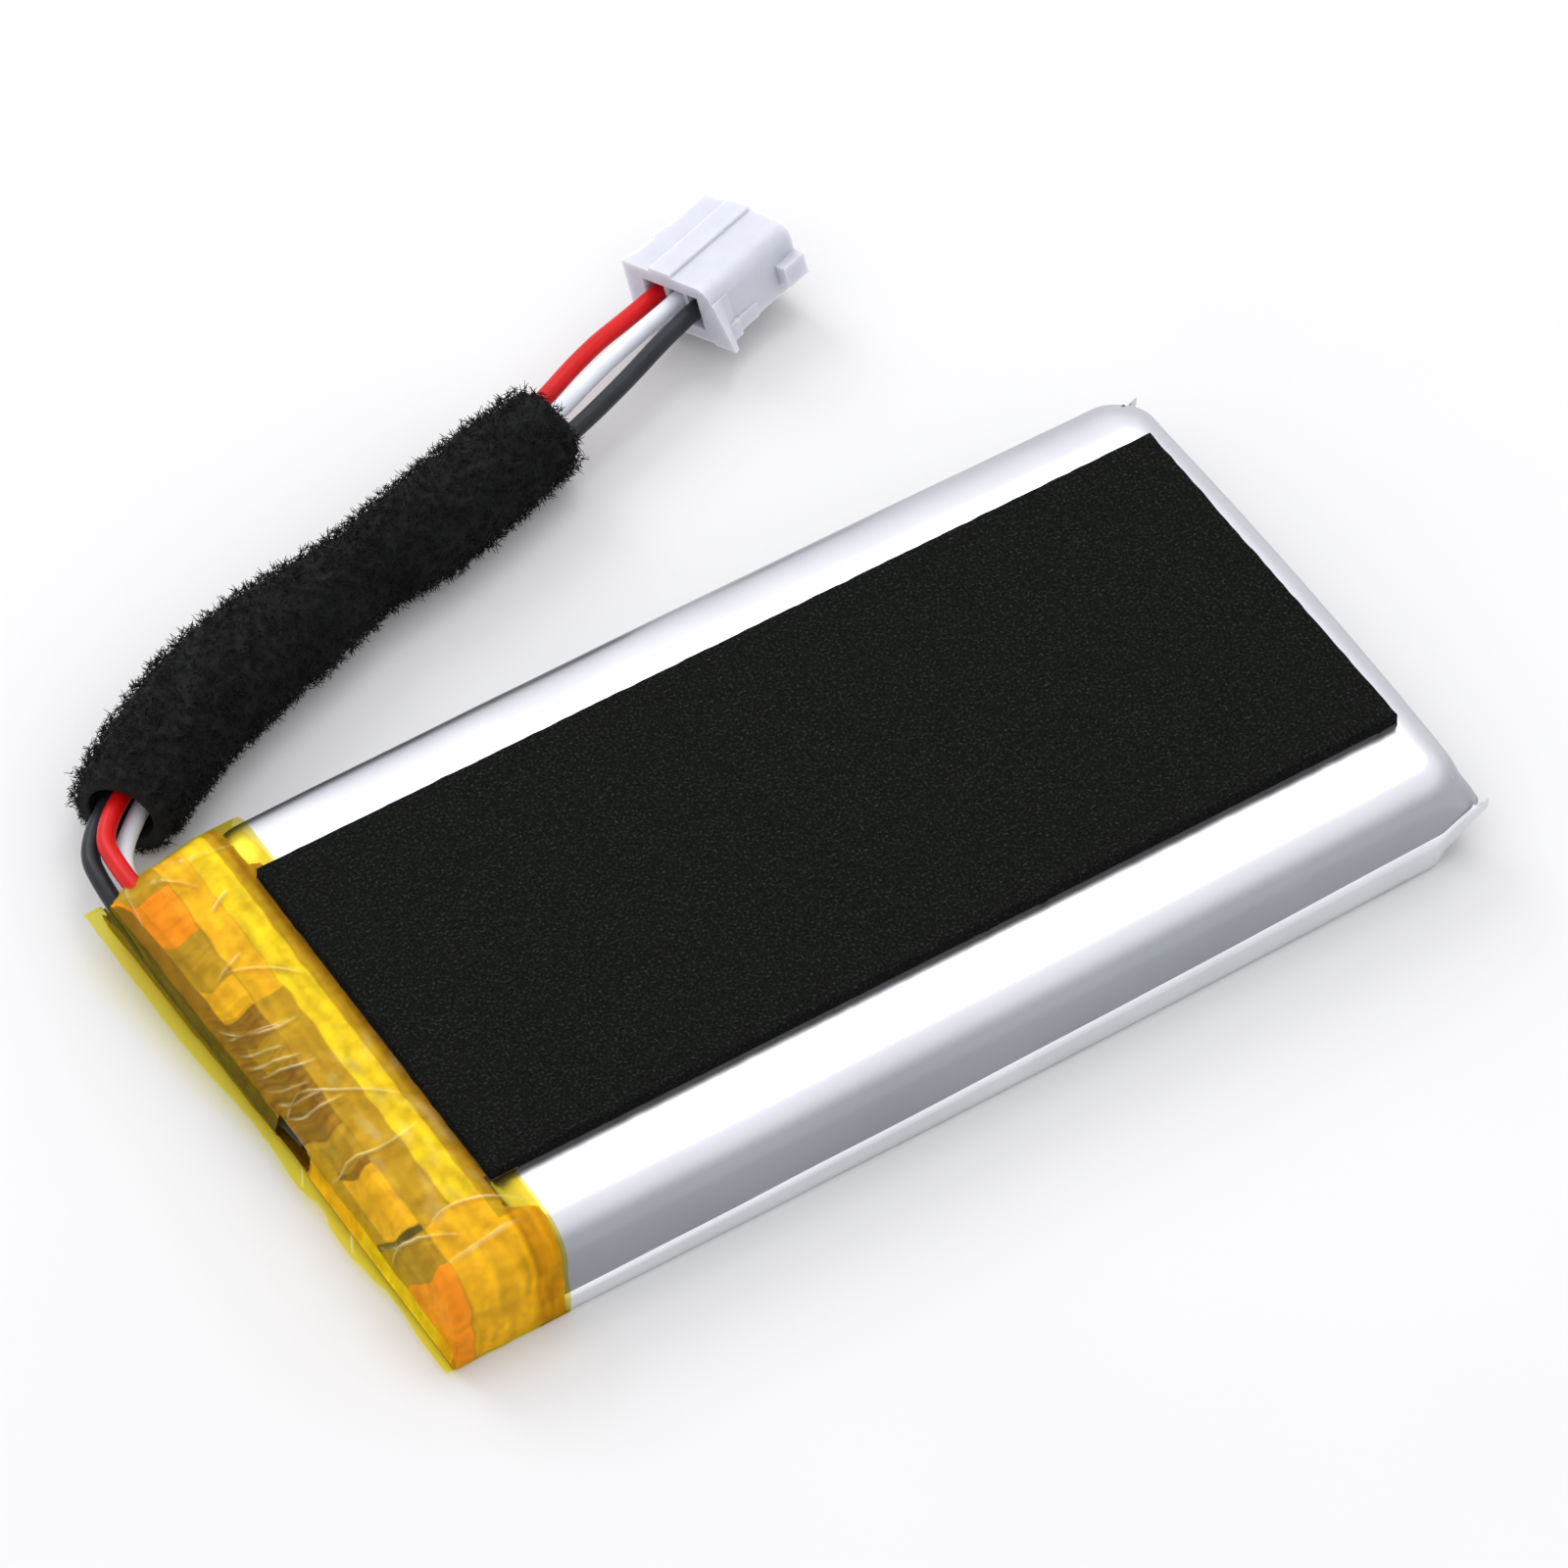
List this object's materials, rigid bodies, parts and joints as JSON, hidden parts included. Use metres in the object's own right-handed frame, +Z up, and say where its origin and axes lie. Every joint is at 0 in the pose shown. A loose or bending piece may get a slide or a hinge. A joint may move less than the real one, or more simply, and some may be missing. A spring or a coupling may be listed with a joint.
{
  "type": "lithium polymer battery pack",
  "caption": "Flat single-cell lithium-polymer pouch pack with a foam pad, taped protection board, foam-sleeved leads and a small plug.",
  "frame": {"origin": "middle of the pack's footprint, without its leads, on the surface it rests on", "axes": "+X from the taped terminal end to the far end, +Y towards the side where the leads come out, +Z up"},
  "size_m": [0.067, 0.0596, 0.0072],
  "materials": {
    "laminate": "satin foil laminate",
    "anode": "graphite coating",
    "cathode": "oxide coating",
    "separator": "microporous film",
    "copper_foil": "thin copper foil",
    "aluminium_foil": "thin foil",
    "nickel": "rolled nickel",
    "tab_film": "melted sealing film",
    "board": "solder mask",
    "chip": "moulded epoxy",
    "ceramic": "fired ceramic",
    "tin": "tinned copper",
    "solder": "bright solder",
    "card": "barley paper",
    "tape": "clear amber polyimide film",
    "adhesive": "acrylic transfer adhesive",
    "pad_foam": "closed-cell foam",
    "red_insulation": "satin insulation",
    "white_insulation": "satin insulation",
    "black_insulation": "satin insulation",
    "sleeve_foam": "open-cell foam",
    "tinned_copper": "tinned strands",
    "housing": "moulded nylon",
    "terminal": "tinned phosphor bronze"
  },
  "bodies": {
    "root": {"pouch_cup": "laminate", "pouch_back": "laminate", "anode_sheets": "anode", "cathode_sheets": "cathode", "folded_separator": "separator", "anode_foil_bundle": "copper_foil", "cathode_foil_bundle": "aluminium_foil", "positive_tab": "aluminium_foil", "negative_tab": "nickel", "tab_seal_films": "tab_film", "protection_board": "board", "nickel_pads": "nickel", "mosfet": "chip", "protection_chip": "chip", "chip_pins": "tin", "chip_resistors": "chip", "chip_capacitors": "ceramic", "thermistor": "ceramic", "chip_end_caps": "tin", "insulating_card": "card", "inner_tape_wrap": "tape", "outer_tape_wrap": "tape", "pad_adhesive": "adhesive", "foam_pad": "pad_foam", "red_lead": "red_insulation", "white_lead": "white_insulation", "black_lead": "black_insulation", "foam_sleeve": "sleeve_foam", "stripped_ends": "tinned_copper", "crimped_strands": "tinned_copper", "solder_pads": "tin", "solder_joints": "solder", "connector_housing": "housing", "crimp_terminals": "terminal"}
  },
  "joints": []
}
